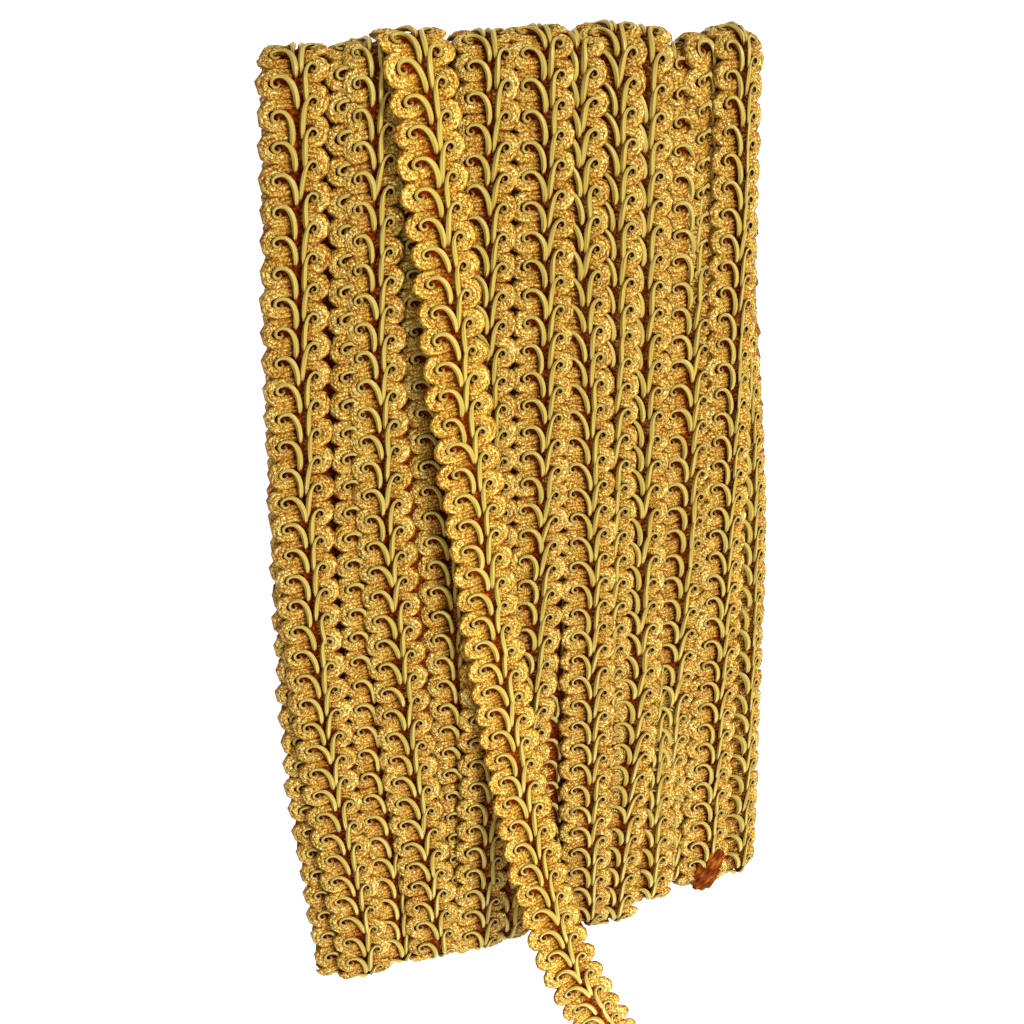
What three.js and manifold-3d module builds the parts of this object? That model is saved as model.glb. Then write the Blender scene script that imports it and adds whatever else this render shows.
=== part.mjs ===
// A flat hank of gimp braid that lies on its back, with one loose end across its face.
// Millimetres, +Z up: X runs across the turns, Y along them to the hank's head, and it rests on Z = 0.

import * as THREE from "three";
import Module from "manifold-3d";

const SCROLL_PITCH = 5.8;     // from one scroll of the braid to the next
const SPINE_TO_LEFT = 6.7;    // from the braid's spine to its left edge, at a scroll
const SPINE_TO_RIGHT = 5.2;   // from the spine to its right edge, at a scroll
const VALLEY = 1.8;           // how far an edge goes in between two scrolls
const BRAID_THICK = 1.7;      // one layer of braid
const HANK_HEAD = 104;        // Y of the folds at the head
const HANK_FOOT = -107;       // Y of the folds at the foot
const FACE_CREST = 12;        // height of the uppermost rows of scrolls
const BACK_FREE = 0.3;        // bevels up to this deep leave the back flat
const LEFT_CREST = -3;        // X of the left row's crest from the spine
const RIGHT_CREST = 2.5;      // X of the right row's crest from the spine
const FOLD_ANGLES = [18, 54]; // stations of half a fold, in degrees above the hank's middle
const PLAIN_STEPS = 8;        // faces along the run of a plain turn
const PIECE_GAP = 0.35;       // between the hank and the loose end that lies on it
const BRAID_COLOUR = 0xd69a2e;
const LOOSE_COLOUR = 0xe2ac40;

// The turns that show, left to right. Five columns are the spine's X at the stations along Y. Six are
// the heights of the left and the right row at the head, the middle and the foot, and two are how far
// the folds stand out past the hank's own head and foot.
const STATION_Y = [105, 50, 0, -50, -105];
const TURN_COLUMNS = ["head", "upper", "middle", "lower", "foot",
  "leftHead", "leftMiddle", "leftFoot", "rightHead", "rightMiddle", "rightFoot",
  "pastHead", "pastFoot"];
const TURNS = {
  one: [-44.4, -47.2, -48.0, -45.5, -39.4, 12, 12, 12, 12, 12, 12, -0.4, 1.1],
  oneUnder: [-33.0, -34.6, -35.6, -34.5, -31.0, 10.5, 10.6, 11.4, 10, 10, 10, -0.7, -0.4],
  two: [-31.0, -32.2, -31.2, -27.8, -22.4, 12, 12, 12, 11.2, 12, 12, -0.1, 0.3],
  twoUnder: [-21.8, -20.6, -18.3, -15.8, -13.6, 10.2, 10.3, 10.3, 10, 10, 10, -1.4, -1],
  three: [-8.4, -9.5, -9.0, -9.6, -11.8, 11.8, 12, 12, 12, 12, 11.8, 0.6, 0.6],
  four: [2.2, 2.7, 2.0, -0.8, -5.6, 11.4, 11.4, 10.4, 12, 12, 11.8, 1.0, -0.8],
  fourUnder: [4.0, 5.0, 6.0, 7.9, 8.4, 8.6, 9, 10.2, 8.6, 9, 10.2, -1.6, -0.4],
  five: [8.6, 10.8, 13.3, 14.3, 14.6, 10, 11.8, 12, 12, 12, 12, -0.4, 0.1],
  six: [16.7, 17.6, 18.0, 18.2, 18.4, 10.4, 9.8, 9.4, 12, 11.6, 10, 0.9, -1.4],
  seven: [22.4, 24.0, 25.2, 24.9, 21.6, 10.2, 10.7, 10.7, 12, 12, 12, 0.0, 0.8],
  sevenUnder: [28.0, 29.0, 30.0, 30.8, 30.6, 8.6, 9, 10.4, 8.6, 9, 12, -3.6, -3.5],
  eight: [33.8, 35.0, 35.6, 34.6, 32.8, 10.4, 10.9, 9.6, 9.6, 11.4, 10.4, -4.3, -7],
  eightUnder: [38.1, 40.0, 40.0, 38.6, 36.6, 11.2, 9.2, 10.2, 7.6, 8.6, 10.6, -1.6, -7.5],
  nine: [42.8, 44.4, 45.2, 45.5, 45.0, 12, 12, 12, 11, 11.4, 12, -0.6, -5.5],
  ten: [42.5, 46.4, 51.8, 53.6, 54.6, 8.6, 8.8, 9.6, 8.5, 9.8, 10.8, -3.0, -5.8],
};
const LEFT_LEAN = 0.3;         // how far the left side goes in for each millimetre under the face
const HALF_WIDE = 54;          // half the hank's width, where that lean is full

// A turn's surface across the braid: [X from the spine, depth under the crest]. On the hank's two
// sides the edges of the layers stand one under another, as far as the middle layer.
const SECTION = [[-6.5, 1.9], [-5.5, 0.4], [-3, 0], [-0.4, 0.35], [2.5, 0], [4.3, 0.4], [5, 1.7]];
const LEFT_SIDE_SECTION = [[-5.9, 5.1], [-6.7, 4.2], [-5.9, 3.2], [-6.7, 2.1], [-5.2, 0.4],
  [-3, 0], [2.5, 0], [5, 1.7]];
const RIGHT_SIDE_SECTION = [[-6.5, 1.7], [-3, 0], [2, 0], [3.4, 0.4], [4.7, 1.9],
  [3.9, 2.9], [4.5, 3.9], [3.8, 4.6]];
const LEFT_EDGE_FROM = -5.5;   // points of the section further out follow the scallops
const RIGHT_EDGE_FROM = 3.7;
const SIDE_STEPS = 68;         // faces along the run of a side turn, two to a scroll

const CORE_CREST = 8.4;        // the layers inside, under the turns that show
const CORE_INSET = 4.5;        // how far their folds lie inside the hank's own

// The braid's sealed inner end, a small folded tab at the foot of turn nine.
const TAB = { x: 46.0, y: -94.8, z: 11.0, wide: 7, long: 13.5, thick: 3.2, turn: -0.44 };
const TAB_FACES = { around: 10, along: 7 };

// The loose end's route at half its thickness: over the fold at the head, down the face, in a low
// arch past the foot and down to its cut end on the surface.
const LIE = FACE_CREST + PIECE_GAP + BRAID_THICK / 2;
const FLOOR_LIE = BRAID_THICK / 2 + 0.1;  // an edge dips a little where the run turns
const LOOSE_FOLD = { x: -21.8, slant: 0.06, y: 97.9, from: -42, to: 80, steps: 6 };
const LOOSE_RUN = [
  [-20.9, 92, LIE], [-19.4, 76, LIE], [-17.4, 56, LIE], [-15.6, 36, LIE], [-13.3, 18, LIE],
  [-11.2, 0, LIE], [-9.2, -18, LIE], [-6.6, -36, LIE], [-4.2, -53, 14.1], [-2.1, -67, 15.7],
  [0.2, -80, 18.2], [2.6, -92, 20.6], [6.2, -104, 22.2], [10.9, -115.5, 22.6], [16, -126, 21.4],
  [21.4, -136, 18], [26.8, -145, 12.8], [32.2, -153.5, 7], [37.6, -161.5, 3.2],
  [43, -169, 1.6], [49, -177, 1.05], [54, -183.5, FLOOR_LIE],
];
const EDGE_POINTS = 4;         // stations of the loose end to one scroll
const EDGE_ROUND = 0.98;       // 1 would bring each scroll's arc to a sharp notch in the valley
const MERGE_DIGITS = 4;        // corners that agree to this many decimals are one

const { lerp, clamp, degToRad, smoothstep } = THREE.MathUtils;
const wasm = await Module();
wasm.setup();

function namedTurn(row) {
  return Object.fromEntries(TURN_COLUMNS.map((column, i) => [column, row[i]]));
}

// A smooth line through the five stations: between two of them a cubic keeps the slope that the
// stations on either side give.
function spineX(turn, y) {
  const xs = TURN_COLUMNS.slice(0, STATION_Y.length).map((column) => turn[column]);
  const last = STATION_Y.length - 1;
  let i = 0;
  while (i < last - 1 && y < STATION_Y[i + 1]) i += 1;
  const t = clamp((y - STATION_Y[i]) / (STATION_Y[i + 1] - STATION_Y[i]), 0, 1);
  const slopeIn = (xs[i + 1] - xs[Math.max(i - 1, 0)]) / 2;
  const slopeOut = (xs[Math.min(i + 2, last)] - xs[i]) / 2;
  return xs[i] + t * slopeIn + t * t * (3 * (xs[i + 1] - xs[i]) - 2 * slopeIn - slopeOut)
    + t * t * t * (2 * (xs[i] - xs[i + 1]) + slopeIn + slopeOut);
}

// Height of a turn's face, which tilts from its left row to its right. Each row eases from its height
// at the head to the one in the middle, and then to the foot's.
function crestHeight(turn, y, dx) {
  const down = 2 * (HANK_HEAD - y) / (HANK_HEAD - HANK_FOOT);
  const [left, right] = ["left", "right"].map((side) => {
    const upper = lerp(turn[`${side}Head`], turn[`${side}Middle`], smoothstep(down, 0, 1));
    return lerp(upper, turn[`${side}Foot`], smoothstep(down, 1, 2));
  });
  return lerp(left, right, clamp((dx - LEFT_CREST) / (RIGHT_CREST - LEFT_CREST), 0, 1));
}

// Stations round a flat turn. The first half runs from the middle of the fold at the head down the
// face to the middle of the fold at the foot, and the second half comes back the same way underneath.
function loopStations(steps) {
  const face = [];
  for (let i = 0; i <= steps; i += 1) face.push({ run: i / steps, angle: 90 });
  const head = FOLD_ANGLES.map((angle) => ({ run: 0, angle }));
  const foot = FOLD_ANGLES.map((angle) => ({ run: 1, angle })).reverse();
  const upper = [...head, ...face, ...foot];
  const under = upper.map(({ run, angle }) => ({ run, angle: -angle })).reverse();
  return [...upper, ...under];
}

// A point of a turn: its folds are half circles as high as the turn, and bevels fade on its back.
function turnPoint(turn, station, dx, drop) {
  const upright = crestHeight(turn, station.run ? HANK_FOOT : HANK_HEAD, dx) / 2;
  const head = HANK_HEAD + turn.pastHead - upright;
  const foot = HANK_FOOT - turn.pastFoot + upright;
  const y = lerp(head, foot, station.run);
  const middle = crestHeight(turn, y, dx) / 2;
  const angle = degToRad(station.angle);
  const backDrop = Math.max(0, drop - BACK_FREE);
  const radius = middle - lerp(backDrop, drop, (1 + Math.sin(angle)) / 2);
  const outward = (station.run ? -1 : 1) * radius * Math.cos(angle);
  const z = Math.max(0, middle + radius * Math.sin(angle));
  const x = spineX(turn, y) + dx;
  const lean = LEFT_LEAN * Math.max(0, FACE_CREST - z) * clamp(-x / HALF_WIDE, 0, 1);
  return [x + lean, y + outward, z];
}

// A closed mesh from rings that lie side by side round the turn, with a wall across each end ring.
function loopSolid(rings) {
  const count = rings[0].length;
  const triangles = [];
  const quad = (a, b, c, d) => triangles.push(a, b, c, a, c, d);
  for (let r = 0; r + 1 < rings.length; r += 1) {
    for (let i = 0; i < count; i += 1) {
      const next = (i + 1) % count;
      quad(r * count + i, r * count + next, (r + 1) * count + next, (r + 1) * count + i);
    }
  }
  const far = (rings.length - 1) * count;
  for (let i = 0; i + 1 < count / 2; i += 1) {
    const under = count - 1 - i;
    quad(i, under, under - 1, i + 1);
    quad(far + i, far + i + 1, far + under - 1, far + under);
  }
  return solidFrom(rings.flat(2), triangles);
}

function solidFrom(positions, triangles) {
  return new wasm.Manifold(new wasm.Mesh({
    numProp: 3,
    vertProperties: Float32Array.from(positions),
    triVerts: Uint32Array.from(triangles),
  }));
}

function plainTurn(turn) {
  const stations = loopStations(PLAIN_STEPS);
  return loopSolid(SECTION.map(([dx, drop]) => stations.map((s) => turnPoint(turn, s, dx, drop))));
}

// A turn on one of the hank's sides: every second station its outer edge goes in, between two scrolls.
function sideTurn(turn, section, follows, inward) {
  const stations = loopStations(SIDE_STEPS);
  return loopSolid(section.map(([dx, drop]) => stations.map((station, i) => {
    const scalloped = follows(dx) && i % 2 ? dx + inward : dx;
    return turnPoint(turn, station, scalloped, drop);
  })));
}

// The inner layers, from the spine of the first turn to the spine of the ninth.
function coreSolid(first, last) {
  const stations = loopStations(PLAIN_STEPS);
  const rings = [first, last].map((turn) => {
    const inner = {
      ...turn,
      leftHead: CORE_CREST,
      leftMiddle: CORE_CREST,
      leftFoot: CORE_CREST,
      rightHead: CORE_CREST,
      rightMiddle: CORE_CREST,
      rightFoot: CORE_CREST,
      pastHead: turn.pastHead - CORE_INSET,
      pastFoot: turn.pastFoot - CORE_INSET,
    };
    return stations.map((station) => turnPoint(inner, station, 0, 0));
  });
  return loopSolid(rings);
}

function tabSolid() {
  const shape = new THREE.SphereGeometry(1 / 2, TAB_FACES.around, TAB_FACES.along);
  shape.scale(TAB.wide, TAB.long, TAB.thick);
  shape.rotateZ(TAB.turn);
  shape.translate(TAB.x, TAB.y, TAB.z);
  return manifoldOf(shape);
}

// A three.js shape as a closed mesh: corners in one place become one, and slivers at a pole go.
function manifoldOf(shape) {
  const seen = new Map();
  const positions = [];
  const place = shape.getAttribute("position");
  const merged = Array.from(shape.index.array, (i) => {
    const point = [place.getX(i), place.getY(i), place.getZ(i)];
    const key = point.map((v) => v.toFixed(MERGE_DIGITS)).join();
    if (!seen.has(key)) {
      seen.set(key, positions.length / 3);
      positions.push(...point);
    }
    return seen.get(key);
  });
  const triangles = [];
  for (let i = 0; i < merged.length; i += 3) {
    const corners = merged.slice(i, i + 3);
    if (new Set(corners).size === 3) triangles.push(...corners);
  }
  return solidFrom(positions, triangles);
}

// The whole hank as one body: the inner layers, every turn that shows and the sealed inner end.
function hankSolid() {
  const { one, ten, ...inner } = Object.fromEntries(
    Object.entries(TURNS).map(([name, row]) => [name, namedTurn(row)]));
  const solids = [
    coreSolid(one, inner.nine),
    sideTurn(one, LEFT_SIDE_SECTION, (dx) => dx < LEFT_EDGE_FROM, VALLEY),
    sideTurn(ten, RIGHT_SIDE_SECTION, (dx) => dx > RIGHT_EDGE_FROM, -VALLEY),
    ...Object.values(inner).map(plainTurn),
    tabSolid(),
  ];
  return solids.reduce((hank, solid) => hank.add(solid));
}

// The loose end's middle line: part of a circle round the hank's head, then the run down its face.
function looseCurve() {
  const { x, slant, y, from, to, steps } = LOOSE_FOLD;
  const radius = LIE - FACE_CREST / 2;
  const fold = [];
  for (let i = 0; i < steps; i += 1) {
    const angle = degToRad(lerp(from, to, i / (steps - 1)));
    const along = y + radius * Math.cos(angle);
    fold.push([x - slant * (along - y), along, FACE_CREST / 2 + radius * Math.sin(angle)]);
  }
  const points = [...fold, ...LOOSE_RUN].map((point) => new THREE.Vector3(...point));
  return new THREE.CatmullRomCurve3(points, false, "centripetal");
}

// Half width of the braid at a distance along it: an arc round each scroll, down to the valley.
function edgeAt(along, widest) {
  const phase = along / SCROLL_PITCH - Math.round(along / SCROLL_PITCH);
  return widest - VALLEY * (1 - Math.sqrt(1 - 4 * phase * phase * EDGE_ROUND));
}

// The loose end: a strip with scalloped edges, the right row's scrolls half a pitch past the left's.
function looseSolid() {
  const curve = looseCurve();
  const length = curve.getLength();
  const count = Math.round(length / SCROLL_PITCH * EDGE_POINTS);
  const across = new THREE.Vector3();
  const up = new THREE.Vector3();
  const rings = [[], [], [], []];
  for (let i = 0; i <= count; i += 1) {
    const along = (i / count) * length;
    const place = curve.getPointAt(i / count);
    const tangent = curve.getTangentAt(i / count);
    across.set(1, 0, 0).addScaledVector(tangent, -tangent.x).normalize();
    up.crossVectors(tangent, across).normalize();
    const left = -edgeAt(along, SPINE_TO_LEFT);
    const right = edgeAt(along + SCROLL_PITCH / 2, SPINE_TO_RIGHT);
    const half = BRAID_THICK / 2;
    [[left, -half], [left, half], [right, half], [right, -half]].forEach(([dx, dz], k) => {
      rings[k].push(place.clone().addScaledVector(across, dx).addScaledVector(up, dz).toArray());
    });
  }
  return stripSolid(rings);
}

// A closed strip from four long edges: its four long faces and a flat cut at each end.
function stripSolid(rings) {
  const count = rings[0].length;
  const triangles = [];
  const quad = (a, b, c, d) => triangles.push(a, b, c, a, c, d);
  for (let k = 0; k < 4; k += 1) {
    const a = k * count;
    const b = ((k + 1) % 4) * count;
    for (let i = 0; i + 1 < count; i += 1) quad(a + i, a + i + 1, b + i + 1, b + i);
  }
  quad(0, count, 2 * count, 3 * count);
  const end = count - 1;
  quad(end, 3 * count + end, 2 * count + end, count + end);
  return solidFrom(rings.flat(2), triangles);
}

function meshOf(name, solid, colour) {
  const { vertProperties, triVerts } = solid.getMesh();
  const geometry = new THREE.BufferGeometry();
  geometry.setAttribute("position", new THREE.BufferAttribute(vertProperties, 3));
  geometry.setIndex(new THREE.BufferAttribute(triVerts, 1));
  geometry.computeVertexNormals();
  const material = new THREE.MeshStandardMaterial({ color: colour, roughness: 0.6, metalness: 0 });
  const mesh = new THREE.Mesh(geometry, material);
  mesh.name = name;
  return mesh;
}

const braidHank = new THREE.Group();
braidHank.add(meshOf("wound_hank", hankSolid(), BRAID_COLOUR));
braidHank.add(meshOf("loose_end", looseSolid(), LOOSE_COLOUR));

export default braidHank;
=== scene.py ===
"""A flat hank of antique gold gimp braid that lies on its back, with one loose end across its face.

Gimp braid has a row of scrolls on each side of its spine. Each scroll is a lobe, a flat band of
crinkled yarn that turns back round a small eye, and a satin cord that curls round the eye and sweeps
down to the spine. Every scroll is worked out in the braid's own flat coordinates: how far along it,
how far across it from the spine, and how high. A function then winds those round the hank.
Lengths are millimetres until a mesh is made. X runs across the turns, Y along them to the head.
"""

import bpy
import numpy as np
from mathutils import Matrix, Vector


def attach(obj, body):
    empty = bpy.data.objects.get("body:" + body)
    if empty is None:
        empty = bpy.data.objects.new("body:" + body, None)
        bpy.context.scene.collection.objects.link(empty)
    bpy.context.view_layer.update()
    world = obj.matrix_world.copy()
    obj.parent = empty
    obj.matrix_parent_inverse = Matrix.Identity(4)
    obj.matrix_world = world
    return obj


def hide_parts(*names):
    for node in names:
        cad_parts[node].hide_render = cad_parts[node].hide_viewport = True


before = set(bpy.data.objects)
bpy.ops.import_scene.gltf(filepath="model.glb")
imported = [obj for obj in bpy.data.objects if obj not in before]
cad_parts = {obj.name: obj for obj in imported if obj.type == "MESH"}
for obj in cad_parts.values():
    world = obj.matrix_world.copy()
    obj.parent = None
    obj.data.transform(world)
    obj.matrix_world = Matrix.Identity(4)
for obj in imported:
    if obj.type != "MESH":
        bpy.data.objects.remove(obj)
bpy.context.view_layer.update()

MM = 0.001
PITCH = 5.8             # from one scroll to the next on the loose end
ROW_SHIFT = 0.58        # how far a right row's eyes lie past the left row's, in pitches
MIDDLE = 6.0            # height of the hank's middle layer
HEAD, FOOT = 104.0, -107.0
FACE = 12.0             # height of the uppermost scrolls
LEFT_CREST, RIGHT_CREST = -3.0, 2.5
LEFT_EYE, RIGHT_EYE = -3.45, 3.1
THICK = 1.7             # one layer of braid

# The camera: a 58 mm lens, to the left of the hank's middle and above its face's head end.
LENS, SENSOR = 58.0, 36.0
AIM = Vector((-4.0, 7.0, 10.5))
CAMERA_DISTANCE = 345.0
CAMERA_LEFT, CAMERA_UP = np.radians(18.0), np.radians(24.5)


def set_camera():
    """A camera whose picture has +Y upwards: it looks at AIM from the left and from the head's side."""
    back = Vector((-np.sin(CAMERA_LEFT) * np.cos(CAMERA_UP), np.sin(CAMERA_UP),
                   np.cos(CAMERA_LEFT) * np.cos(CAMERA_UP)))
    right = (-back).cross(Vector((0, 1, 0))).normalized()
    up = back.cross(right)
    turn = Matrix((right, up, back)).transposed().to_4x4()
    data = bpy.data.cameras.new("camera")
    data.lens = LENS
    data.sensor_width = SENSOR
    data.clip_start, data.clip_end = 0.01, 20
    camera = bpy.data.objects.new("camera", data)
    bpy.context.scene.collection.objects.link(camera)
    camera.matrix_world = Matrix.Translation((AIM + back * CAMERA_DISTANCE) * MM) @ turn
    bpy.context.scene.camera = camera


set_camera()

# The turns that show, left to right: the spine's X at five stations along Y, the heights of the left
# and the right row at the head, the middle and the foot, how far the folds stand out past the hank's
# head and foot, the Y of a left row's eye near the head, and the pitch of its scrolls. Turns one,
# one_under and two, and the right rows of nine and ten, are a little off the solid's.
STATION_Y = np.array([105.0, 50.0, 0.0, -50.0, -105.0])
COLUMNS = ("head", "upper", "middle", "lower", "foot", "left_head", "left_middle", "left_foot",
           "right_head", "right_middle", "right_foot", "past_head", "past_foot", "eye_y", "pitch")
TURNS = {
    "one": (-44.9, -47.3, -48.0, -45.5, -39.4, 12, 12, 12, 12, 12, 12, -0.4, 1.1, 97.6, 5.84),
    "one_under": (-33.0, -34.6, -35.6, -34.5, -31.0, 11.3, 11.3, 11.5, 10, 10, 10, -0.7, -0.4, 99, 5.84),
    "two": (-30.6, -32.1, -31.2, -27.8, -22.4, 12, 12, 12, 11.2, 12, 12, -0.1, 0.3, 97.0, 5.84),
    "two_under": (-21.8, -20.6, -18.3, -15.8, -13.6, 10.2, 10.3, 10.3, 10, 10, 10, -1.4, -1, 100, 5.8),
    "three": (-8.4, -9.5, -9.0, -9.6, -11.8, 11.8, 12, 12, 12, 12, 11.8, 0.6, 0.6, 98.5, 5.8),
    "four": (2.2, 2.7, 2.0, -0.8, -5.6, 11.4, 11.4, 10.4, 12, 12, 11.8, 1.0, -0.8, 100.1, 5.82),
    "four_under": (4.0, 5.0, 6.0, 7.9, 8.4, 8.6, 9, 10.2, 8.6, 9, 10.2, -1.6, -0.4, 97.0, 5.75),
    "five": (8.6, 10.8, 13.3, 14.3, 14.6, 10, 11.8, 12, 12, 12, 12, -0.4, 0.1, 100.4, 5.68),
    "six": (16.7, 17.6, 18.0, 18.2, 18.4, 10.4, 9.8, 9.4, 12, 11.6, 10, 0.9, -1.4, 98.0, 5.66),
    "seven": (22.4, 24.0, 25.2, 24.9, 21.6, 10.2, 10.7, 10.7, 12, 12, 12, 0.0, 0.8, 96.6, 5.64),
    "seven_under": (28.0, 29.0, 30.0, 30.8, 30.6, 8.6, 9, 10.4, 8.6, 9, 12, -3.6, -3.5, 99.0, 5.6),
    "eight": (33.8, 35.0, 35.6, 34.6, 32.8, 10.4, 10.9, 9.6, 9.6, 11.4, 10.4, -4.3, -7, 97, 5.6),
    "eight_under": (38.1, 40.0, 40.0, 38.6, 36.6, 11.2, 9.2, 10.2, 7.6, 8.6, 10.6, -1.6, -7.5, 95, 5.58),
    "nine": (42.8, 44.4, 45.2, 45.5, 45.0, 12, 12, 12, 12, 12, 12, -0.6, -5.5, 99.8, 5.52),
    "ten": (42.5, 46.4, 51.8, 53.6, 54.6, 8.6, 8.8, 9.6, 10, 11.2, 12, -3.0, -5.8, 102.4, 5.6),
}
TURNS = {name: dict(zip(COLUMNS, row)) for name, row in TURNS.items()}
# How wide a turn's left and right halves look from above, at the head and at the foot, where it
# isn't flat. A right half that is narrower slopes down from the spine, a left half is squeezed.
WIDTHS = {"two": (0.84, 1.0, 1.0, 1.0), "nine": (0.82, 1.0, 0.92, 1.0), "ten": (1.0, 1.0, 0.8, 0.88)}
LEAN = 0.3              # how far the left side goes in for each millimetre under the face
HALF_WIDE = 54.0        # half the hank's width, where that lean is full
BEND = 2.5              # how far from the spine a sloping or squeezed half is fully so
EDGE_FROM = 4.3         # how far from the spine the braid's edges begin to droop
EDGE_DROOP = 0.14       # by this times the square of what is past that

# One scroll of the left row, in pitches from its eye: X towards the spine, Y down along the braid.
# The third number is the height in millimetres.
LOBE_PATH = [(0.55, -0.27, -0.75), (0.3, -0.3, -0.4), (0.02, -0.3, -0.1), (-0.24, -0.26, 0.0),
             (-0.38, -0.12, 0.0), (-0.39, 0.08, 0.0), (-0.25, 0.24, -0.05), (0.0, 0.28, -0.1),
             (0.22, 0.26, -0.3), (0.46, 0.2, -0.65)]
# The right row's lobes are smaller and rounder.
RIGHT_LOBE_PATH = [(0.47, -0.26, -0.8), (0.25, -0.31, -0.4), (0.02, -0.3, -0.12), (-0.2, -0.21, 0.0),
                   (-0.3, -0.01, 0.0), (-0.22, 0.19, 0.0), (-0.02, 0.28, -0.1),
                   (0.2, 0.28, -0.32), (0.42, 0.22, -0.75)]
LOBE_HALF_WIDTH = (0.135, 0.158)        # at its start and at its end
RIGHT_LOBE_HALF_WIDTH = (0.14, 0.152)
LOBE_TOP = -0.2
# Across the band, in half widths from its inner edge to its outer one: three crinkled yarns with two
# grooves. The inner edge reaches across the eye, so that no hole shows there.
BAND_ACROSS = np.array([-1.95, -0.9, -0.42, 0.0, 0.36, 0.72, 1.04])
BAND_HEIGHT = np.array([-0.62, -0.12, -0.42, 0.0, -0.28, -0.25, -1.35])
LEFT_CORD_PATH = [(-0.01, 0.0, -0.95), (0.08, 0.02, -0.78), (0.04, 0.12, -0.58),
                  (-0.11, 0.1, -0.48), (-0.17, -0.03, -0.43), (-0.11, -0.16, -0.38),
                  (0.06, -0.22, -0.34), (0.26, -0.18, -0.34), (0.41, -0.03, -0.34),
                  (0.51, 0.18, -0.34), (0.56, 0.42, -0.36), (0.57, 0.64, -0.45), (0.56, 0.82, -0.75),
                  (0.55, 0.92, -1.2)]
RIGHT_CORD_PATH = [(-0.02, 0.0, -0.95), (0.07, 0.03, -0.78), (0.01, 0.125, -0.58),
                   (-0.13, 0.07, -0.48), (-0.14, -0.09, -0.42), (-0.01, -0.19, -0.38),
                   (0.13, -0.13, -0.35), (0.23, 0.04, -0.35), (0.28, 0.26, -0.36),
                   (0.31, 0.5, -0.39), (0.33, 0.76, -0.46), (0.34, 1.0, -0.66), (0.34, 1.16, -0.9),
                   (0.34, 1.26, -1.2)]
CORD_SWELL = ((0, 0.4, 0.62, 0.85, 1), (0.55, 0.7, 1.1, 1.08, 0.6))  # shares of its length and radius
CORD_RADIUS = 0.55
RIGHT_CORD_RADIUS = 0.52
CURL_SHARE = 1.35       # how much closer a cord's rings lie in its curl than in its tail
ROUGH = 0.06            # how far the yarn's crinkles throw a lobe's corners
# How much the scrolls differ: turned in radians, scaled in shares, and moved and lifted in millimetres.
SPREAD = {"turn": 0.06, "size": 0.035, "place": 0.12, "lift": 0.08}
SPREAD_ACROSS = 0.7     # how much of the move goes across the braid
HOLLOW = 1.1            # how far under the crests the painted shade of the hollows is at its darkest
TONE_STEP = 37.0        # how far apart two scrolls with the opposite tones lie in the yarn's pattern
COARSE = {"band": 11, "cord": 17, "cord_sides": 5}
FINE = {"band": 19, "cord": 22, "cord_sides": 8}


def smooth_path(points, count, bias=1.0):
    """Points on a smooth line through the given ones, at equal steps or closer at its start.

    Between two points a cubic keeps the slope that the points on either side give (Catmull-Rom).
    It is sampled finely, and then read off at equal lengths.
    """
    p = np.asarray(points, float)
    p = np.vstack([2 * p[0] - p[1], p, 2 * p[-1] - p[-2]])
    t = np.linspace(0, 1, 24, endpoint=False)[None, :, None]
    a, b, c, d = (p[i:len(p) - 3 + i, None, :] for i in range(4))
    fine = 0.5 * (2 * b + (c - a) * t + (2 * a - 5 * b + 4 * c - d) * t**2
                  + (3 * b - a - 3 * c + d) * t**3)
    fine = np.vstack([fine.reshape(-1, p.shape[1]), p[-2]])
    return resampled(fine, count, bias)


def resampled(line, count, bias):
    """The same line with count points along it, at the steps' shares to the power of the bias."""
    along = np.append(0, np.cumsum(np.linalg.norm(np.diff(line, axis=0), axis=1)))
    at = along[-1] * np.linspace(0, 1, count)**bias
    return np.stack([np.interp(at, along, line[:, k]) for k in range(line.shape[1])], 1)


def ring_faces(rings, around):
    """Quads between neighbouring rings of a closed tube, and one face across each end."""
    r, a = np.meshgrid(np.arange(rings - 1), np.arange(around), indexing="ij")
    b = (a + 1) % around
    quads = np.stack([r * around + a, r * around + b, (r + 1) * around + b, (r + 1) * around + a], -1)
    first = np.arange(around)[::-1]
    last = (rings - 1) * around + np.arange(around)
    return quads.reshape(-1, 4), np.stack([first, last])


def band_template(points, half_width, detail):
    """A lobe: the band's section carried along a path.

    A point is the path's point, plus the section's step across times the half width along the
    path's side normal, and its height is the path's height plus the section's.
    """
    rings = detail["band"]
    path = smooth_path([(x * PITCH, y * PITCH, z) for x, y, z in points], rings)
    step = np.gradient(path[:, :2], axis=0)
    step /= np.linalg.norm(step, axis=1)[:, None]
    side = np.stack([-step[:, 1], step[:, 0]], 1)
    half = PITCH * np.linspace(*half_width, rings)
    across = BAND_ACROSS[None, :] * half[:, None]
    xy = path[:, None, :2] - across[..., None] * side[:, None, :]
    z = LOBE_TOP + path[:, None, 2] + BAND_HEIGHT[None, :]
    along = np.append(0, np.cumsum(np.linalg.norm(np.diff(path[:, :2], axis=0), axis=1)))
    uv = np.stack(np.broadcast_arrays(along[:, None], across), -1)
    # One on the crests, falling to nothing HOLLOW under them: the colour's painted shade in the hollows.
    depth = np.clip(1 + (z - LOBE_TOP) / HOLLOW, 0, 1)
    quads, caps = ring_faces(rings, len(BAND_ACROSS))
    xyz = np.concatenate([xy, z[..., None]], -1)
    return {"xyz": xyz.reshape(-1, 3), "uv": uv.reshape(-1, 2), "depth": depth.ravel(),
            "quads": quads, "caps": caps, "slot": 0}


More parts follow.
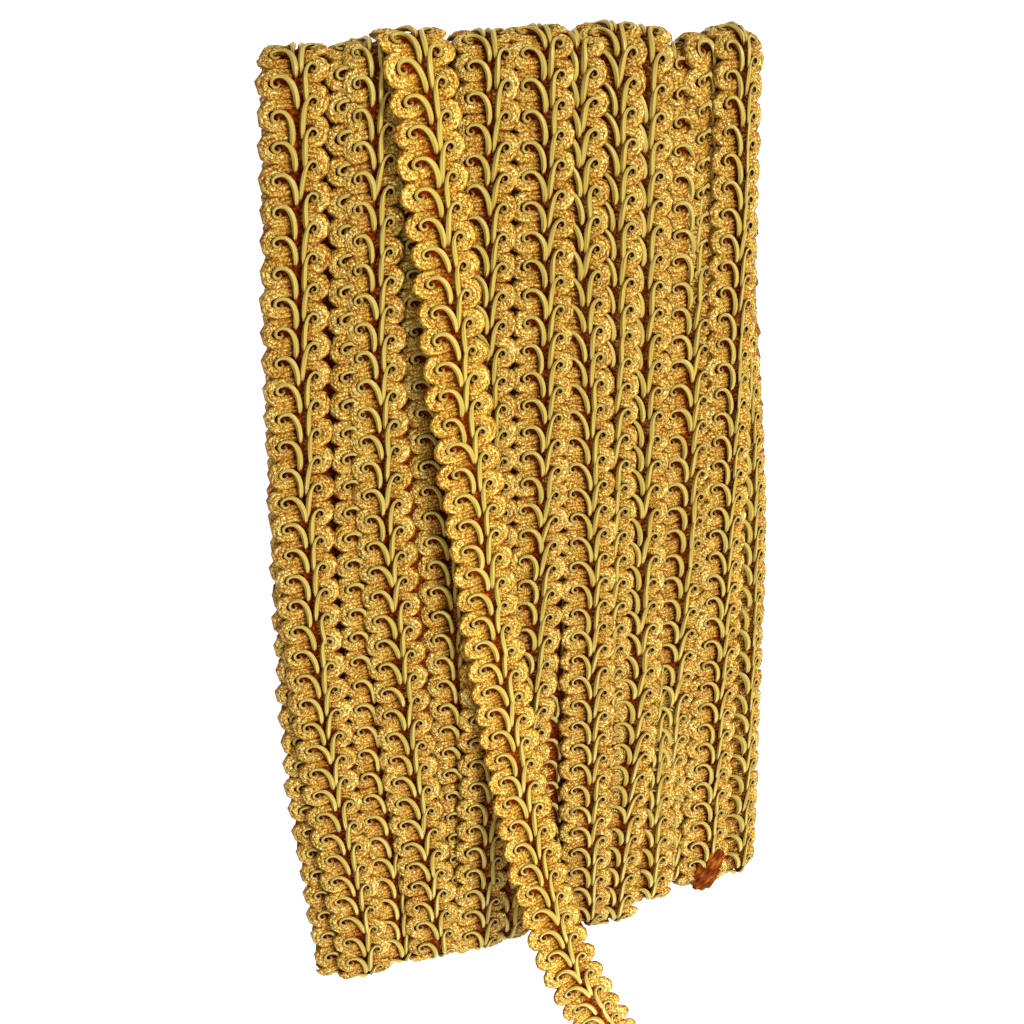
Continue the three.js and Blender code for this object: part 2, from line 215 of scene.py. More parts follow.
def cord_template(points, radius, detail):
    """A satin cord: a round tube along a path, whose ends taper.

    A point is the path's point, plus the radius times cosine along the side normal and sine upwards.
    """
    rings, around = detail["cord"], detail["cord_sides"]
    path = smooth_path([(x * PITCH, y * PITCH, z) for x, y, z in points], rings, CURL_SHARE)
    step = np.gradient(path[:, :2], axis=0)
    step /= np.linalg.norm(step, axis=1)[:, None]
    side = np.stack([-step[:, 1], step[:, 0]], 1)
    along = np.append(0, np.cumsum(np.linalg.norm(np.diff(path, axis=0), axis=1)))
    swell = radius * np.interp(along / along[-1], *CORD_SWELL)
    angle = 2 * np.pi * (np.arange(around) - 0.75) / around
    xy = path[:, None, :2] + (swell[:, None] * np.cos(angle))[..., None] * side[:, None, :]
    z = path[:, None, 2] + swell[:, None] * np.sin(angle)
    uv = np.stack(np.broadcast_arrays(along[:, None], angle[None, :] / (2 * np.pi)), -1)
    # The cord's top is painted lightest, with painted shade low on its sides and under it.
    depth = np.clip(1 + z / HOLLOW, 0, 1)
    quads, caps = ring_faces(rings, around)
    xyz = np.concatenate([xy, z[..., None]], -1)
    return {"xyz": xyz.reshape(-1, 3), "uv": uv.reshape(-1, 2), "depth": depth.ravel(),
            "quads": quads, "caps": caps, "slot": 1}


def strewn(template, along, eye, side, chance):
    """Copies of a template at the given lengths along the braid, each a little different.

    Each copy is turned, scaled, shifted and lifted by small random amounts, and its X is mirrored
    for the right row. A lobe's corners are also thrown about a little, one by one. The result is
    still in braid coordinates: along, across and height.
    """
    count = len(along)
    x, y, z = template["xyz"].T[:, None, :]
    turn = chance.normal(0, SPREAD["turn"], (count, 1))
    grow = 1 + chance.normal(0, SPREAD["size"], (count, 2))
    shift = chance.normal(0, SPREAD["place"], (count, 2))
    u = (x * np.cos(turn) - y * np.sin(turn)) * grow[:, :1]
    v = (x * np.sin(turn) + y * np.cos(turn)) * grow[:, 1:]
    part = dict(template)
    rough = ROUGH * chance.normal(0, 1 - template["slot"], (3, count, len(template["xyz"])))
    part["along"] = along[:, None] + v + shift[:, :1] + rough[0]
    part["across"] = eye - side * u + shift[:, 1:] * SPREAD_ACROSS + rough[1]
    part["height"] = z + chance.normal(0, SPREAD["lift"], (count, 1)) + rough[2]
    part["tone"] = np.repeat(chance.random(count), len(template["xyz"]))
    part["count"] = count
    return part


def volume(points, quads):
    """The signed volume under some quads, six times over, about their own middle."""
    a, b, c, d = (points[quads[:, k]] - points[quads].mean((0, 1)) for k in range(4))
    return np.einsum("ij,ij->", a, np.cross(b, c) + np.cross(c, d))


def facing_out(points, tested, quads, caps):
    """The faces, turned round if the volume under the tested ones shows that they point inwards."""
    if volume(points, tested) < 0:
        return quads[:, ::-1], caps[:, ::-1]
    return quads, caps


def finished(part, place):
    """The copies as one mesh part, wound into place, with its faces pointing outwards."""
    size = len(part["xyz"])
    points = place(part["along"], part["across"], part["height"]).reshape(-1, 3)
    offset = (np.arange(part["count"]) * size)[:, None, None]
    quads = (part["quads"][None] + offset).reshape(-1, 4)
    caps = (part["caps"][None] + offset).reshape(-1, part["caps"].shape[1])
    quads, caps = facing_out(points, part["quads"], quads, caps)
    return {"points": points, "quads": quads, "caps": caps, "slot": part["slot"],
            "uv": np.tile(part["uv"], (part["count"], 1)) + part["tone"][:, None] * TONE_STEP,
            "depth": np.tile(part["depth"], part["count"]), "tone": part["tone"]}


def made(name, parts, materials):
    """One object from mesh parts, with a UV map, and depth, for painted shade in the hollows, and tone as
    attributes.
    """
    starts = np.cumsum([0] + [len(p["points"]) for p in parts])
    faces, totals, slots = [], [], []
    for start, p in zip(starts, parts):
        for group in (p["quads"], p["caps"]):
            faces.append((group + start).ravel())
            totals.append(np.full(len(group), group.shape[1]))
            slots.append(np.full(len(group), p["slot"]))
    corners, totals = np.concatenate(faces).astype(np.int32), np.concatenate(totals).astype(np.int32)
    mesh = bpy.data.meshes.new(name)
    mesh.vertices.add(int(starts[-1]))
    mesh.vertices.foreach_set("co", (np.concatenate([p["points"] for p in parts]) * MM).ravel())
    mesh.loops.add(len(corners))
    mesh.loops.foreach_set("vertex_index", corners)
    mesh.polygons.add(len(totals))
    mesh.polygons.foreach_set("loop_start", np.append(0, np.cumsum(totals)[:-1]).astype(np.int32))
    mesh.polygons.foreach_set("loop_total", totals)
    mesh.polygons.foreach_set("material_index", np.concatenate(slots).astype(np.int32))
    mesh.polygons.foreach_set("use_smooth", np.ones(len(totals), bool))
    mesh.update(calc_edges=True)
    uv = np.concatenate([p["uv"] for p in parts])
    mesh.uv_layers.new(name="yarn").data.foreach_set("uv", uv[corners].astype(np.float32).ravel())
    for key in ("depth", "tone"):
        values = np.concatenate([p[key] for p in parts]).astype(np.float32)
        mesh.attributes.new(key, "FLOAT", "POINT").data.foreach_set("value", values)
    mesh.validate()
    for material in materials:
        mesh.materials.append(material)
    piece = bpy.data.objects.new(name, mesh)
    bpy.context.scene.collection.objects.link(piece)
    return piece


def spine_x(turn, y):
    """X of a turn's spine: a cubic between two stations keeps the slope that their neighbours give."""
    xs = np.array([turn[c] for c in COLUMNS[:5]])
    i = np.clip(np.searchsorted(-STATION_Y, -np.asarray(y)) - 1, 0, 3)
    t = np.clip((y - STATION_Y[i]) / (STATION_Y[i + 1] - STATION_Y[i]), 0, 1)
    a, b = xs[i], xs[i + 1]
    go, come = (b - xs[np.maximum(i - 1, 0)]) / 2, (xs[np.minimum(i + 2, 4)] - a) / 2
    return a + t * go + t**2 * (3 * (b - a) - 2 * go - come) + t**3 * (2 * (a - b) + go + come)


def eased(t):
    """From zero to one, level at both ends: three t squared less two t cubed."""
    t = np.clip(t, 0, 1)
    return t * t * (3 - 2 * t)


def row_height(turn, y, across):
    """A turn's height over the hank's middle, which tilts from its left row to its right.

    Each row eases from its height at the head to the one in the middle, and then to the foot's.
    """
    down = 2 * (HEAD - y) / (HEAD - FOOT)
    left, right = (turn[side + "_head"] + (turn[side + "_middle"] - turn[side + "_head"]) * eased(down)
                   + (turn[side + "_foot"] - turn[side + "_middle"]) * eased(down - 1)
                   for side in ("left", "right"))
    share = np.clip((across - LEFT_CREST) / (RIGHT_CREST - LEFT_CREST), 0, 1)
    return left + (right - left) * share - MIDDLE


class Winding:
    """One flat turn of braid: down the face, round the foot, up the back and round the head."""

    def __init__(self, turn, inwards=0.0, widths=(1.0, 1.0, 1.0, 1.0)):
        self.turn, self.inwards, self.widths = turn, inwards, widths
        self.head_radius = float(row_height(turn, HEAD, 0.0)) - inwards
        self.foot_radius = float(row_height(turn, FOOT, 0.0)) - inwards
        self.top = HEAD + turn["past_head"] - self.head_radius - inwards
        self.bottom = FOOT - turn["past_foot"] + self.foot_radius + inwards
        self.run = self.top - self.bottom
        self.length = 2 * self.run + np.pi * (self.head_radius + self.foot_radius)
        self.count = round(self.length / turn["pitch"])
        self.pitch = self.length / self.count

    def eyes(self, share):
        """Lengths of all the eyes of a row, which is a share of a pitch past the left row."""
        first = self.top - self.turn["eye_y"]
        return first + (np.arange(self.count) + share) * self.pitch

    def place(self, along, across, height):
        """Braid coordinates to millimetres in space.

        The runs are straight, and each fold is half a circle about the hank's middle. A row's own
        height sets the circle's radius, and the edges droop by a square outside the crests. What
        would go under the surface is pressed flat.
        """
        s = np.mod(along, self.length)
        fold = np.pi * self.foot_radius
        on_face = s < self.run
        at_foot = (s >= self.run) & (s < self.run + fold)
        on_back = (s >= self.run + fold) & (s < 2 * self.run + fold)
        down = np.where(on_face, s / self.run, np.where(at_foot, 1.0, 0.0))
        down = np.where(on_back, 1 - (s - self.run - fold) / self.run, down)
        angle = np.where(on_face, np.pi / 2, -np.pi / 2)
        angle = np.where(at_foot, np.pi / 2 - (s - self.run) / self.foot_radius, angle)
        at_head = s >= 2 * self.run + fold
        angle = np.where(at_head, (s - 2 * self.run - fold) / self.head_radius - np.pi / 2, angle)
        left_head, left_foot, right_head, right_foot = self.widths
        left = left_head + (left_foot - left_head) * down
        right = right_head + (right_foot - right_head) * down
        bent = eased(across / BEND)
        bent_left = eased(-across / BEND)
        slope = np.sqrt(1 - right**2) * bent * across
        droop = EDGE_DROOP * np.maximum(0, np.abs(across) - EDGE_FROM)**2 + slope
        h = height - droop - self.inwards
        wide = 1 - (1 - right) * bent - (1 - left) * bent_left
        top = HEAD + self.turn["past_head"] - row_height(self.turn, HEAD, across)
        bottom = FOOT - self.turn["past_foot"] + row_height(self.turn, FOOT, across)
        y = top + (bottom - top) * down
        radius = row_height(self.turn, y, across) + h
        outward = np.where(at_head, 1.0, -1.0) * radius * np.cos(angle)
        z = np.maximum(0, MIDDLE + radius * np.sin(angle))
        x = spine_x(self.turn, y) + across * wide
        x = x + LEAN * np.maximum(0, FACE - z) * np.clip(-x / HALF_WIDE, 0, 1)
        return np.stack([x, y + outward, z], -1)


GROUND_ACROSS = np.array([-4.7, -2.0, 1.2, 4.2, 4.2, 1.2, -2.0, -4.7])
GROUND_HEIGHT = np.array([-1.25, -1.2, -1.2, -1.25, -1.7, -1.7, -1.7, -1.7])
TURN_STEPS, LOOSE_STEPS = 120, 300      # steps along the strip on a turn and on the loose end


def ground_part(place, length, steps, closed):
    """The threads under the scrolls, a thin strip, painted dark as their shade: its section carried all
    along the braid.
    """
    along = np.linspace(0, length, steps, endpoint=not closed)
    a, b = np.broadcast_arrays(along[:, None], GROUND_ACROSS)
    points = place(a, b, np.broadcast_to(GROUND_HEIGHT, a.shape)).reshape(-1, 3)
    around = len(GROUND_ACROSS)
    quads, caps = ring_faces(steps + 1 if closed else steps, around)
    quads = quads % len(points)
    quads, caps = facing_out(points, quads, quads, caps)
    if closed:
        caps = caps[:0]
    size = len(points)
    return {"points": points, "quads": quads, "caps": caps, "slot": 2,
            "uv": np.stack([a, b], -1).reshape(-1, 2), "depth": np.zeros(size),
            "tone": np.full(size, 0.5)}


def braid_parts(place, left_eyes, right_eyes, detail, chance):
    """Both rows' lobes and cords."""
    lobe = band_template(LOBE_PATH, LOBE_HALF_WIDTH, detail)
    right_lobe = band_template(RIGHT_LOBE_PATH, RIGHT_LOBE_HALF_WIDTH, detail)
    left_cord = cord_template(LEFT_CORD_PATH, CORD_RADIUS, detail)
    right_cord = cord_template(RIGHT_CORD_PATH, RIGHT_CORD_RADIUS, detail)
    rows = [
        strewn(lobe, left_eyes, LEFT_EYE, -1, chance),
        strewn(right_lobe, right_eyes, RIGHT_EYE, 1, chance),
        strewn(left_cord, left_eyes, LEFT_EYE, -1, chance),
        strewn(right_cord, right_eyes, RIGHT_EYE, 1, chance),
    ]
    return [finished(row, place) for row in rows]


def node(tree, kind, inputs=None, **settings):
    """A shader node with its settings, its plain input values and its links."""
    made_node = tree.nodes.new(kind)
    for key, value in settings.items():
        setattr(made_node, key, value)
    for key, value in (inputs or {}).items():
        if isinstance(value, bpy.types.NodeSocket):
            tree.links.new(value, made_node.inputs[key])
        else:
            made_node.inputs[key].default_value = value
    return made_node


def ramp(tree, factor, stops):
    """A colour ramp from (position, colour) stops."""
    made_ramp = node(tree, "ShaderNodeValToRGB", {"Fac": factor})
    elements = made_ramp.color_ramp.elements
    while len(elements) < len(stops):
        elements.new(0.5)
    for element, (position, colour) in zip(elements, stops):
        element.position = position
        element.color = (*colour, 1)
    return made_ramp.outputs["Color"]


def sockets(group, inputs, outputs):
    """The named sockets of a node group: floats, unless a kind is given."""
    for names, way in ((inputs, "INPUT"), (outputs, "OUTPUT")):
        for name in names:
            kind = "NodeSocketVector" if name == "Vector" else "NodeSocketFloat"
            group.interface.new_socket(name=name, in_out=way, socket_type=kind)


def crinkle_group():
    """Crinkled yarn: curly lines over small uneven beads, both raised; the yarn's colour paints them
    bright, a painted highlight.

    The lines lie where a bent noise is near one half. A bead is a rounded cell. Height is the sum of
    both, and Fleck is a random value for each bead.
    """
    group = bpy.data.node_groups.new("crinkled yarn", "ShaderNodeTree")
    sockets(group, ("Vector", "Beads", "Curls"), ("Height", "Fleck"))
    source = node(group, "NodeGroupInput")
    stray = node(group, "ShaderNodeTexNoise", {"Vector": source.outputs["Vector"],
                                               "Scale": source.outputs["Curls"], "Detail": 1.0,
                                               "Distortion": 1.2})
    middle = node(group, "ShaderNodeMath", {0: stray.outputs["Fac"], 1: 0.5}, operation="SUBTRACT")
    away = node(group, "ShaderNodeMath", {0: middle.outputs[0]}, operation="ABSOLUTE")
    line = node(group, "ShaderNodeMapRange", {"Value": away.outputs[0], "From Min": 0.085,
                                              "From Max": 0.01, "To Max": 0.55})
    cell = node(group, "ShaderNodeTexVoronoi", {"Vector": source.outputs["Vector"],
                                                "Scale": source.outputs["Beads"],
                                                "Randomness": 0.9}, voronoi_dimensions="2D")
    rise = node(group, "ShaderNodeMapRange", {"Value": cell.outputs["Distance"], "From Min": 0.6,
                                              "From Max": 0.08, "To Max": 0.6})
    height = node(group, "ShaderNodeMath", {0: line.outputs["Result"], 1: rise.outputs["Result"]},
                  operation="ADD")
    fleck = node(group, "ShaderNodeSeparateColor", {"Color": cell.outputs["Color"]})
    node(group, "NodeGroupOutput", {"Height": height.outputs[0], "Fleck": fleck.outputs["Red"]})
    return group


def twist_group():
    """Satin cord: long plies. Height is a wave round the cord that turns slowly as it goes along."""
    group = bpy.data.node_groups.new("satin twist", "ShaderNodeTree")
    sockets(group, ("Vector", "Plies"), ("Height",))
    source = node(group, "NodeGroupInput")
    parts = node(group, "ShaderNodeSeparateXYZ", {"Vector": source.outputs["Vector"]})
    turns = node(group, "ShaderNodeMath", {0: source.outputs["Plies"], 1: 2 * np.pi},
                 operation="MULTIPLY")
    around = node(group, "ShaderNodeMath", {0: parts.outputs["Y"], 1: turns.outputs[0]},
                  operation="MULTIPLY")
    lean = node(group, "ShaderNodeMath", {0: parts.outputs["X"], 1: 0.5, 2: around.outputs[0]},
                operation="MULTIPLY_ADD")
    wave = node(group, "ShaderNodeMath", {0: lean.outputs[0]}, operation="SINE")
    node(group, "NodeGroupOutput", {"Height": wave.outputs[0]})
    return group


CRINKLE = crinkle_group()
TWIST = twist_group()


def base_material(name, roughness, gloss):
    """A material with a Principled shader whose even values sit on its own sockets."""
    material = bpy.data.materials.new(name)
    material.use_nodes = True
    tree = material.node_tree
    shader = tree.nodes["Principled BSDF"]
    shader.inputs["Roughness"].default_value = roughness
    shader.inputs["Specular IOR Level"].default_value = gloss
    return material, tree, shader


def covered(tree, shader, colour, height, strength, distance):
    """Links a colour to a shader, and a bump of a given strength and distance in metres."""
    bump = node(tree, "ShaderNodeBump", {"Height": height, "Strength": strength, "Distance": distance})
    tree.links.new(colour, shader.inputs["Base Color"])
    tree.links.new(bump.outputs["Normal"], shader.inputs["Normal"])


def yarn_material(name, light):
    """Crinkled gold yarn: painted shade makes it red-brown in the hollows, it is gold on the beads, and a
    painted highlight makes the brightest pale. Light scales most of the colours, a painted brightness.
    """
    material, tree, shader = base_material(name, 0.5, 0.1)
    uv = node(tree, "ShaderNodeUVMap", uv_map="yarn")
    depth = node(tree, "ShaderNodeAttribute", attribute_name="depth")
    tone = node(tree, "ShaderNodeAttribute", attribute_name="tone")
    beads = node(tree, "ShaderNodeGroup", {"Vector": uv.outputs["UV"]}, node_tree=CRINKLE)
    beads.inputs["Beads"].default_value = 1.9
    beads.inputs["Curls"].default_value = 1.15
    # Painted highlight: the crinkles' raised curls and bead tops are coloured brighter, over each bead's
    # random fleck.
    lit = node(tree, "ShaderNodeMath", {0: beads.outputs["Fleck"], 1: 0.4,
                                        2: beads.outputs["Height"]}, operation="MULTIPLY_ADD")
    toned = node(tree, "ShaderNodeMath", {0: tone.outputs["Fac"], 1: 0.12, 2: lit.outputs[0]},
                 operation="MULTIPLY_ADD")
    # Painted shade: the colour darkens towards the hollows, under the crests.
    painted_hollow_shade = node(tree, "ShaderNodeMapRange", {"Value": depth.outputs["Fac"], "To Min": 0.08,
                                             "To Max": 0.88})
    share = node(tree, "ShaderNodeMath", {0: toned.outputs[0], 1: painted_hollow_shade.outputs["Result"]},
                 operation="MULTIPLY")
    # From painted shade, dark red-brown, through gold, to a pale painted highlight at the top.
    colour = ramp(tree, share.outputs[0], [
        (0.0, (0.1, 0.012, 0.0008)), (0.16, (0.23 * light, 0.06 * light, 0.002)),
        (0.34, (0.38 * light, 0.178 * light, 0.012)), (0.56, (0.53 * light, 0.335 * light, 0.045)),
        (0.8, (0.7 * light, 0.53 * light, 0.13)), (1.0, (0.88, 0.76, 0.34))])
    covered(tree, shader, colour, beads.outputs["Height"], 1.0, 0.0003)
    return material


def cord_material(name, light):
    """Pale olive satin cord, with painted shade low down on its sides and its top painted lightest. Light
    scales its colours, a painted brightness.
    """
    material, tree, shader = base_material(name, 0.38, 0.26)
    uv = node(tree, "ShaderNodeUVMap", uv_map="yarn")
    depth = node(tree, "ShaderNodeAttribute", attribute_name="depth")
    twist = node(tree, "ShaderNodeGroup", {"Vector": uv.outputs["UV"]}, node_tree=TWIST)
    twist.inputs["Plies"].default_value = 5.0
    # Painted shade and light: the crest-to-hollow value, with the plies' slight wave on it.
    shade = node(tree, "ShaderNodeMath", {0: twist.outputs["Height"], 1: 0.09,
                                          2: depth.outputs["Fac"]}, operation="MULTIPLY_ADD")
    colour = ramp(tree, shade.outputs[0], [
        (0.25, (0.1, 0.012, 0.0006)), (0.5, (0.15 * light, 0.048 * light, 0.002)),
        (0.68, (0.24 * light, 0.15 * light, 0.012)), (0.96, (0.345 * light, 0.25 * light, 0.046))])
    covered(tree, shader, colour, twist.outputs["Height"], 0.6, 0.0001)
    return material


def ground_material(name, light):
    """The red-brown threads under the scrolls, painted dark for the shade that lies on them between the
    scrolls. Light scales the colours, a painted brightness.
    """
    material, tree, shader = base_material(name, 0.9, 0.02)
    place = node(tree, "ShaderNodeTexCoord")
    noise = node(tree, "ShaderNodeTexNoise", {"Vector": place.outputs["Object"], "Scale": 1500.0,
                                              "Detail": 3.0})
    colour = ramp(tree, noise.outputs["Fac"], [
        (0.35, (0.04 * light, 0.003 * light, 0.0003)), (0.55, (0.11 * light, 0.012 * light, 0.0006)),
        (0.75, (0.24 * light, 0.05 * light, 0.002))])
    covered(tree, shader, colour, noise.outputs["Fac"], 0.8, 0.0002)
    return material


def sealed_material():
    """The melted end: painted shade makes it dark red-brown in its folds, and it is painted lighter,
    orange-brown, where it stands out.
    """
    material, tree, shader = base_material("sealed braid end", 0.8, 0.02)
    place = node(tree, "ShaderNodeTexCoord")
    depth = node(tree, "ShaderNodeAttribute", attribute_name="depth")
    noise = node(tree, "ShaderNodeTexNoise", {"Vector": place.outputs["Object"], "Scale": 500.0,
                                              "Detail": 3.0})
    mixed = node(tree, "ShaderNodeMath", {0: noise.outputs["Fac"], 1: depth.outputs["Fac"]},
                 operation="MULTIPLY")
    colour = ramp(tree, mixed.outputs[0], [
        (0.1, (0.05, 0.006, 0.0008)), (0.34, (0.12, 0.024, 0.002)), (0.56, (0.25, 0.085, 0.007))])
    covered(tree, shader, colour, noise.outputs["Fac"], 0.8, 0.0004)
    return material


SHADED_GROUND = ground_material("ground threads in painted shade", 1.0)
SEALED = sealed_material()
# Lit and shaded copies: a painted brightness scales each finish's colours, and the loose end's copies are
# painted brighter than the hank's, for the stronger light on it.
HANK_FINISH = [yarn_material("crinkled gold yarn", 0.9), cord_material("satin cord", 1.0), SHADED_GROUND]
LOOSE_FINISH = [yarn_material("crinkled gold yarn painted brighter", 1.06),
                cord_material("satin cord painted brighter", 1.12),
                ground_material("ground threads painted brighter", 2.2)]


def wind_hank():
    """One piece for each turn that shows, with its scrolls and its strip of ground threads."""
    chance = np.random.default_rng(7)
    pieces = []
    for name, turn in TURNS.items():
        winding = Winding(turn, widths=WIDTHS.get(name, (1.0, 1.0, 1.0, 1.0)))
        parts = braid_parts(winding.place, winding.eyes(0), winding.eyes(ROW_SHIFT), COARSE, chance)
        parts.append(ground_part(winding.place, winding.length, TURN_STEPS, True))
        pieces.append(made("turn_" + name, parts, HANK_FINISH))
    return pieces


# The layers whose edges show on the hank's two sides, inside turn one and turn ten: how deep each
# lies, and how far its spine is from that turn's at the five stations.
LEFT_LAYERS = [(1.75, (0.5, 0.5, -0.9, -3.4, -5.2)), (3.5, (0.6, 0.5, 0.2, -1.4, -2.4))]
RIGHT_LAYERS = [(1.75, (-2.2, -3.0, -3.8, -3.6, -3.4)), (3.5, (-1.4, -2.4, -3.0, -3.0, -2.9))]


def side_layers():
    """The outer rows of the layers inside, on turns wound closer to the middle."""
    chance = np.random.default_rng(11)
    left_lobe = band_template(LOBE_PATH, LOBE_HALF_WIDTH, COARSE)
    right_lobe = band_template(RIGHT_LOBE_PATH, RIGHT_LOBE_HALF_WIDTH, COARSE)
    left_cord = cord_template(LEFT_CORD_PATH, CORD_RADIUS, COARSE)
    pieces = []
    for name, outer, layers, lobe, eye, side in (
            ("left_layers", "one", LEFT_LAYERS, left_lobe, LEFT_EYE, -1),
            ("right_layers", "ten", RIGHT_LAYERS, right_lobe, RIGHT_EYE, 1)):
        parts = []
        for deep, shifts in layers:
            turn = dict(TURNS[outer])
            turn.update({c: turn[c] + shift for c, shift in zip(COLUMNS, shifts)})
            turn["eye_y"] += deep
            winding = Winding(turn, deep)
            row = strewn(lobe, winding.eyes(0), eye, side, chance)
            parts.append(finished(row, winding.place))
            if side < 0:
                cords = strewn(left_cord, winding.eyes(0), eye, side, chance)
                parts.append(finished(cords, winding.place))
            parts.append(ground_part(winding.place, winding.length, TURN_STEPS, True))
        pieces.append(made(name, parts, HANK_FINISH))
    return pieces


INNER_FROM_HEAD, INNER_FROM_FOOT = 6.5, 9.0     # how far inside the hank's ends the block stops
INNER_HALF_THICK = 3.0


def inner_block():
    """The layers inside as one plain block with rounded sides, nearly as wide as the hank.

    Across, it goes from turn one's spine to turn nine's. Its section is a superellipse.
    """
    stations = 48
    around = 60
    y = np.linspace(HEAD - INNER_FROM_HEAD, FOOT + INNER_FROM_FOOT, stations)
    left = spine_x(TURNS["one"], y)
    right = spine_x(TURNS["nine"], y)
    t = np.linspace(0, 2 * np.pi, around, endpoint=False)
    across = (left + right)[:, None] / 2 + (right - left)[:, None] / 2 * np.sign(np.cos(t)) * (
        np.abs(np.cos(t))**0.25)
    up = MIDDLE + INNER_HALF_THICK * np.sign(np.sin(t)) * np.abs(np.sin(t))**0.5
    points = np.stack([across, np.broadcast_to(y[:, None], across.shape),
                       np.broadcast_to(up, across.shape)], -1).reshape(-1, 3)
    quads, caps = ring_faces(stations, around)
    quads, caps = facing_out(points, quads, quads, caps)
    size = len(points)
    part = {"points": points, "quads": quads, "caps": caps, "slot": 0, "uv": points[:, :2],
            "depth": np.zeros(size), "tone": np.zeros(size)}
    # The inside is only seen in shade, so it wears the ground threads' painted shade.
    return made("inner_layers", [part], [SHADED_GROUND])


# The braid's sealed inner end, a small folded tab at the foot of turn nine, as in the solid.
TAB = {"x": 46.0, "y": -94.8, "z": 11.0, "wide": 7.0, "long": 13.5, "thick": 3.2, "turn": -0.44}


def sealed_tab():
    """The sealed end: an ellipsoid with two folds along it and melted, uneven skin.

    The radius of the unit ball is one, less 0.07 times the square of a wave across, plus waves of
    three different lengths. X grows by 0.3 towards the foot. The axes are then stretched to the
    tab's sizes, and it is turned.
    """
    rings, around = 34, 40
    tall, turn = np.meshgrid(np.linspace(0.04, np.pi - 0.04, rings),
                             np.linspace(0, 2 * np.pi, around, endpoint=False), indexing="ij")
    x, y, z = np.sin(tall) * np.cos(turn), np.cos(tall), np.sin(tall) * np.sin(turn)
    radius = (1 - 0.07 * np.sin(7 * x + 2 * y)**2 + 0.04 * np.sin(9 * y + 5 * z)
              + 0.03 * np.sin(17 * x - 13 * y) + 0.02 * np.sin(31 * y + 23 * z))
    x = x * (1 - 0.3 * y)
    x, y, z = x * radius * TAB["wide"] / 2, y * radius * TAB["long"] / 2, z * radius * TAB["thick"] / 2
    cos, sin = np.cos(TAB["turn"]), np.sin(TAB["turn"])
    points = np.stack([TAB["x"] + x * cos - y * sin, TAB["y"] + x * sin + y * cos, TAB["z"] + z], -1)
    points = points.reshape(-1, 3)
    quads, caps = ring_faces(rings, around)
    quads, caps = facing_out(points, quads, quads, caps)
    size = len(points)
    # Painted shade in the tab's folds, where its radius is smaller; none where it stands out.
    part = {"points": points, "quads": quads, "caps": caps, "slot": 0, "uv": points[:, :2],
            "depth": np.clip((radius.ravel() - 0.86) / 0.2, 0, 1), "tone": np.zeros(size)}
    return made("sealed_end", [part], [SEALED])


# The loose end's route at half its thickness, as in the solid, but for its fold's Y.
LIE = FACE + 0.35 + THICK / 2
FLOOR_LIE = THICK / 2 + 0.1
LOOSE_FOLD = {"x": -21.8, "slant": 0.06, "y": 97.5, "from": -42.0, "to": 80.0, "steps": 6}
LOOSE_RUN = [(-20.9, 92, LIE), (-19.4, 76, LIE), (-17.4, 56, LIE), (-15.6, 36, LIE), (-13.3, 18, LIE),
             (-11.2, 0, LIE), (-9.2, -18, LIE), (-6.6, -36, LIE), (-4.2, -53, 14.1),
             (-2.1, -67, 15.7), (0.2, -80, 18.2), (2.6, -92, 20.6), (6.2, -104, 22.2),
             (10.9, -115.5, 22.6), (16, -126, 21.4), (21.4, -136, 18), (26.8, -145, 12.8),
             (32.2, -153.5, 7), (37.6, -161.5, 3.2), (43, -169, 1.6), (49, -177, 1.05),
             (54, -183.5, FLOOR_LIE)]
ROUTE_STEPS = 1200
FIRST_EYE, LAST_EYE = 3.2, 2.6      # how far from the loose end's two ends its scrolls may begin


class LooseRun:
    """The loose end: braid coordinates carried along a smooth route, the face side up."""

    def __init__(self):
        radius = LIE - MIDDLE
        angle = np.radians(np.linspace(LOOSE_FOLD["from"], LOOSE_FOLD["to"], LOOSE_FOLD["steps"]))
        y = LOOSE_FOLD["y"] + radius * np.cos(angle)
        x = LOOSE_FOLD["x"] - LOOSE_FOLD["slant"] * (y - LOOSE_FOLD["y"])
        fold = np.stack([x, y, MIDDLE + radius * np.sin(angle)], 1)
        self.line = smooth_path(np.vstack([fold, LOOSE_RUN]), ROUTE_STEPS)
        self.at = np.append(0, np.cumsum(np.linalg.norm(np.diff(self.line, axis=0), axis=1)))
        self.length = float(self.at[-1])
        tangent = np.gradient(self.line, axis=0)
        tangent /= np.linalg.norm(tangent, axis=1)[:, None]
        right = np.array([1.0, 0, 0]) - tangent * tangent[:, :1]
        right /= np.linalg.norm(right, axis=1)[:, None]
        self.frames = (tangent, right, np.cross(tangent, right))

    def read(self, s, values):
        """The values, given at the route's points, at lengths s along it."""
        return np.stack([np.interp(s, self.at, values[:, k]) for k in range(3)], -1)

    def place(self, along, across, height):
        """The route's point, plus across times its right and height times its up.

        Past the ends the braid goes straight on. The crest is half the thickness over the route,
        and nothing goes under the surface.
        """
        s = np.clip(along, 0, self.length)
        centre, tangent, right, up = (self.read(s, values) for values in (self.line, *self.frames))
        lift = (height + THICK / 2)[..., None]
        points = centre + (along - s)[..., None] * tangent + across[..., None] * right + lift * up
        points[..., 2] = np.maximum(0, points[..., 2])
        return points


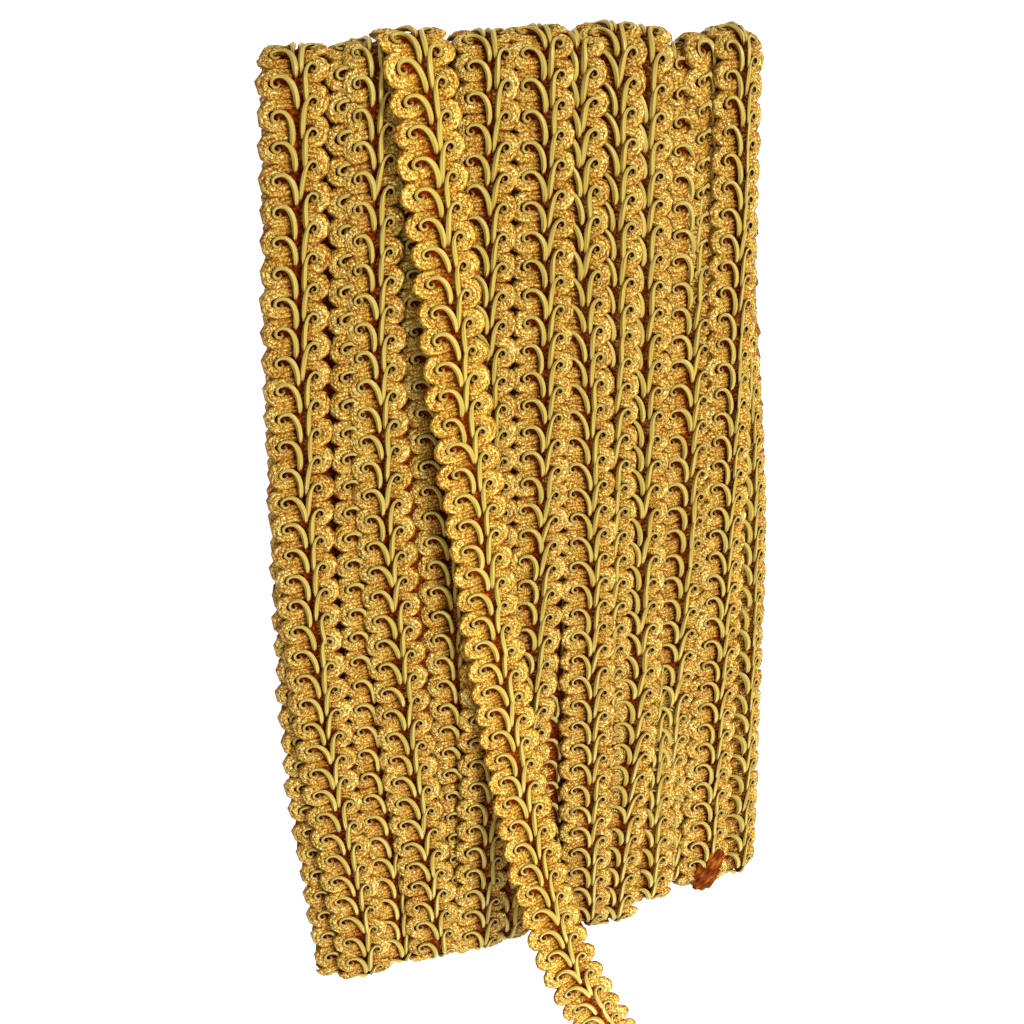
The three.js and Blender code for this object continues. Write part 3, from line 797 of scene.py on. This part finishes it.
def loose_end():
    """The loose end in three pieces: the strip of threads, its lobes and its cords."""
    run = LooseRun()
    chance = np.random.default_rng(23)
    left = np.arange(FIRST_EYE, run.length - LAST_EYE, PITCH)
    right = np.arange(FIRST_EYE + PITCH * ROW_SHIFT, run.length - LAST_EYE, PITCH)
    lobes_left, lobes_right, cords_left, cords_right = braid_parts(run.place, left, right, FINE,
                                                                   chance)
    lobes = made("loose_end_scrolls", [lobes_left, lobes_right], LOOSE_FINISH)
    cords = made("loose_end_cords", [cords_left, cords_right], LOOSE_FINISH)
    strip = made("loose_end_strip", [ground_part(run.place, run.length, LOOSE_STEPS, False)], LOOSE_FINISH)
    return strip, lobes, cords, run


# Area lights in metres and watts: name, place, size and power. They all point at the origin.
LIGHTS = [("key", (0.55, 0.35, 0.7), 0.3, 15.0), ("fill", (-0.6, 0.1, 0.7), 0.6, 3.0),
          ("foot", (0.1, -0.36, 0.22), 0.25, 2.2)]
FLOOR_SIZE, FLOOR_Z = 6, -0.00005


def floor_and_light():
    """A plain near-white floor and soft light, brightest from the upper right of the picture."""
    bpy.ops.mesh.primitive_plane_add(size=FLOOR_SIZE, location=(0, 0, FLOOR_Z))
    floor = bpy.context.object
    floor.name = "floor"
    material, tree, shader = base_material("lit white floor", 0.9, 0.1)
    shader.inputs["Base Color"].default_value = (0.3, 0.3, 0.3, 1)
    shader.inputs["Emission Color"].default_value = (1, 1, 1, 1)
    shader.inputs["Emission Strength"].default_value = 0.85
    floor.data.materials.append(material)
    world = bpy.data.worlds.new("studio")
    bpy.context.scene.world = world
    world.use_nodes = True
    background = world.node_tree.nodes["Background"]
    background.inputs["Color"].default_value = (1, 1, 1, 1)
    background.inputs["Strength"].default_value = 0.62
    for name, place, size, power in LIGHTS:
        data = bpy.data.lights.new(name, "AREA")
        data.size = size
        data.energy = power
        light = bpy.data.objects.new(name, data)
        bpy.context.scene.collection.objects.link(light)
        spot = Vector(place)
        light.matrix_world = Matrix.Translation(spot) @ (
            spot.to_track_quat("Z", "Y").to_matrix().to_4x4())


def set_colours():
    """A plain display curve, so that the white floor stays white."""
    view = bpy.context.scene.view_settings
    view.view_transform = "Standard"


turn_pieces = wind_hank()
layer_pieces = side_layers()
inner = inner_block()
tab = sealed_tab()
strip, lobes, cords, loose_run = loose_end()
floor_and_light()
set_colours()

for piece in [*turn_pieces, *layer_pieces, inner, tab]:
    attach(piece, "root")
for piece in (strip, lobes, cords):
    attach(piece, "root")
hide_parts("wound_hank")
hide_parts("loose_end")
